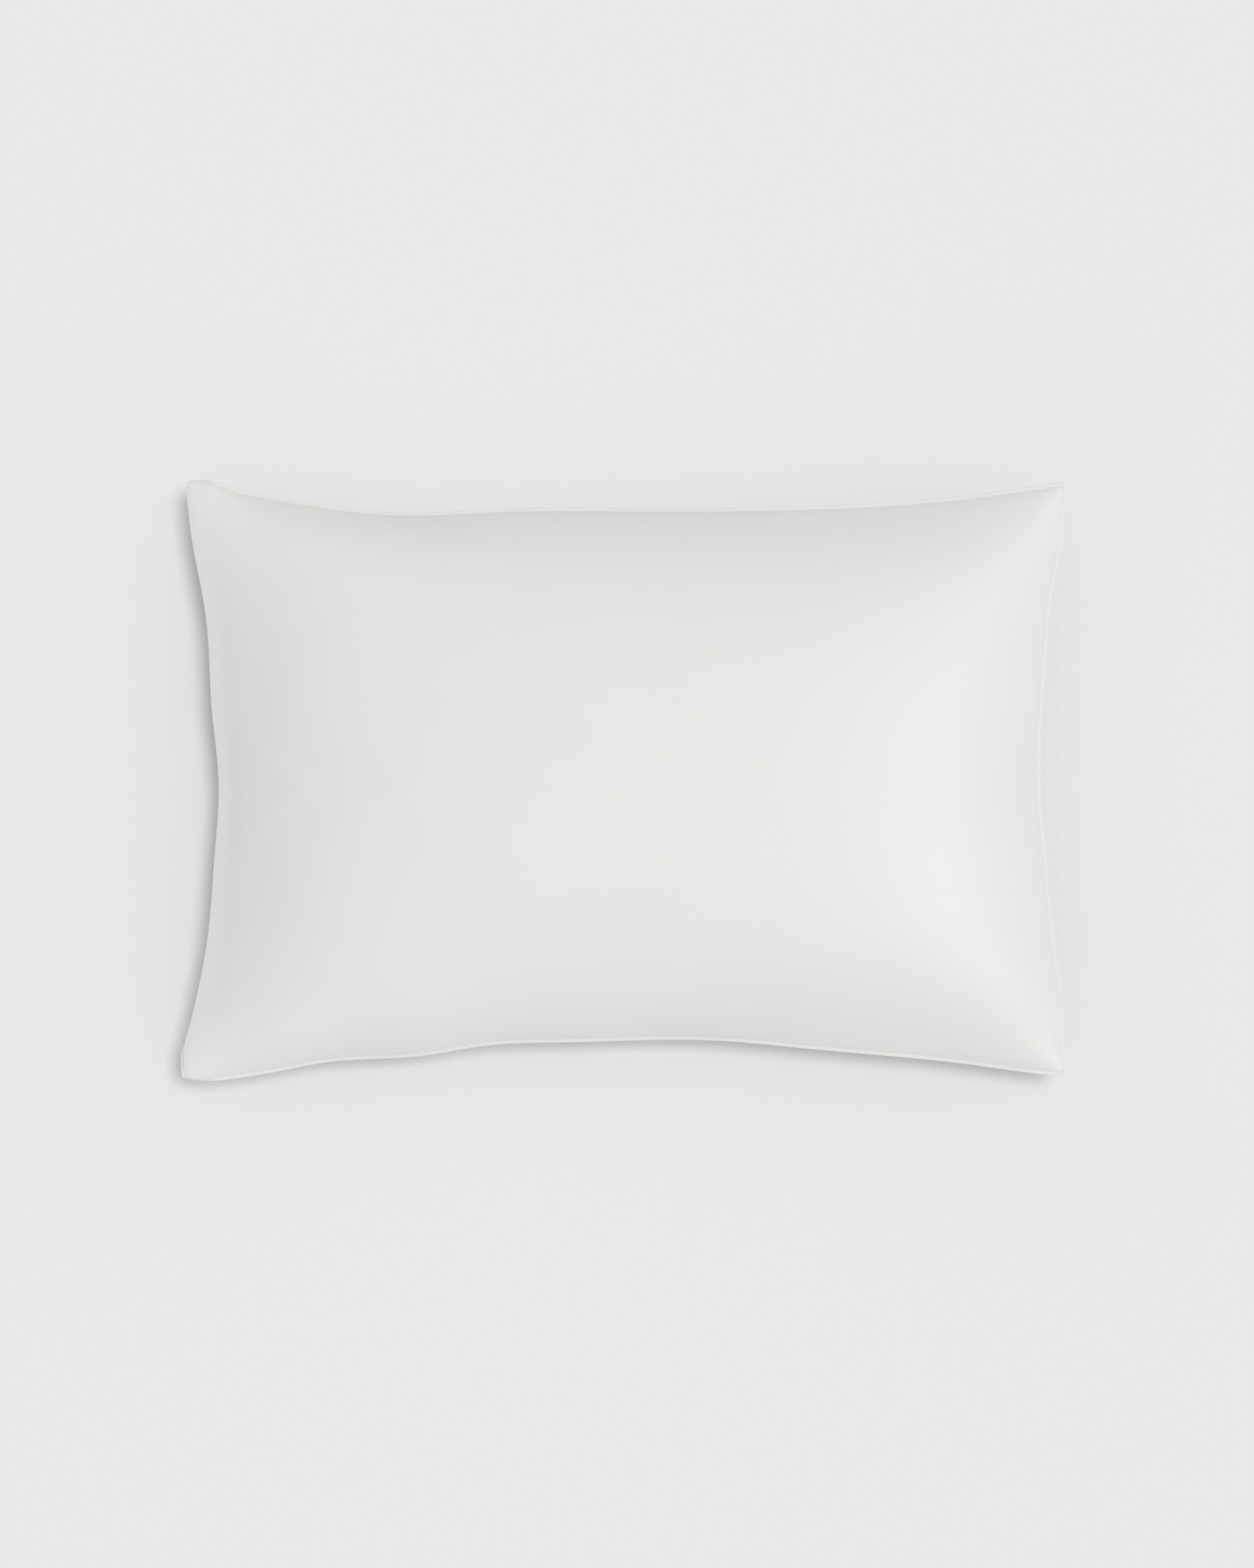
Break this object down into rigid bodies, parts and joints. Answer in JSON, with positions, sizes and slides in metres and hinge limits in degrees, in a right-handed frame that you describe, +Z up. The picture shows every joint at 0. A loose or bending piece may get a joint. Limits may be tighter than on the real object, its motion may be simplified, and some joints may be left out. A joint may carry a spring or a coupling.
{
  "type": "bed pillow",
  "caption": "Rectangular bed pillow: stuffed, piped insert in a plain satin pillowcase with a concealed zip at one short end.",
  "frame": {"origin": "on the face that the pillow rests on, below the middle of the pillowcase", "axes": "+X along the pillow from the zipped short end to the sewn one, +Y across it, +Z up"},
  "size_m": [0.7414, 0.5008, 0.138],
  "materials": {
    "case_satin": "ivory satin weave, soft sheen along the weft",
    "case_thread": "matching spun thread, satin lustre",
    "ticking": "white cotton percale, matte",
    "piping": "bias-cut percale round a soft cord, matte",
    "fibre": "carded polyester fibre, matte",
    "label": "plain woven satin ribbon, no lettering",
    "zip_tape": "twill-woven polyester tape, matte",
    "zip_coil": "extruded polyester coil, semi-matte",
    "zip_metal": "die-cast zinc, ivory enamel",
    "stop_metal": "pressed aluminium, satin"
  },
  "bodies": {
    "pillow": {"case_front_panel": "case_satin", "case_back_panel": "case_satin", "case_thread_front": "case_thread", "case_thread_closed_end": "case_thread", "case_thread_rear": "case_thread", "case_care_label": "label", "ticking_top_panel": "ticking", "ticking_bottom_panel": "ticking", "ticking_piping_cover": "piping", "ticking_piping_cord": "piping", "ticking_thread": "case_thread", "ticking_care_label": "label", "fibre_fill": "fibre", "zip_tape_front": "zip_tape", "zip_tape_back": "zip_tape", "zip_coil_front": "zip_coil", "zip_coil_back": "zip_coil", "zip_thread_front": "case_thread", "zip_thread_back": "case_thread", "zip_top_stops": "stop_metal", "zip_bottom_stop": "stop_metal", "zip_bar_tacks": "case_thread"},
    "slider": {"zip_slider_body": "zip_metal"},
    "pull": {"zip_slider_pull": "zip_metal"}
  },
  "joints": [
    {"name": "slider_travel", "type": "hinge", "parent": "pillow", "child": "slider", "pos_m": [-1.48252, 0, 0.0508], "axis": [0, 0, 1], "range_deg": [0, 19.23], "deforming": ["zip_coil_front", "zip_coil_back"]},
    {"name": "pull_swing", "type": "hinge", "parent": "slider", "child": "pull", "pos_m": [-0.35791, -0.1975, 0.0508], "axis": [0, 0, 1], "range_deg": [0, 160]}
  ]
}
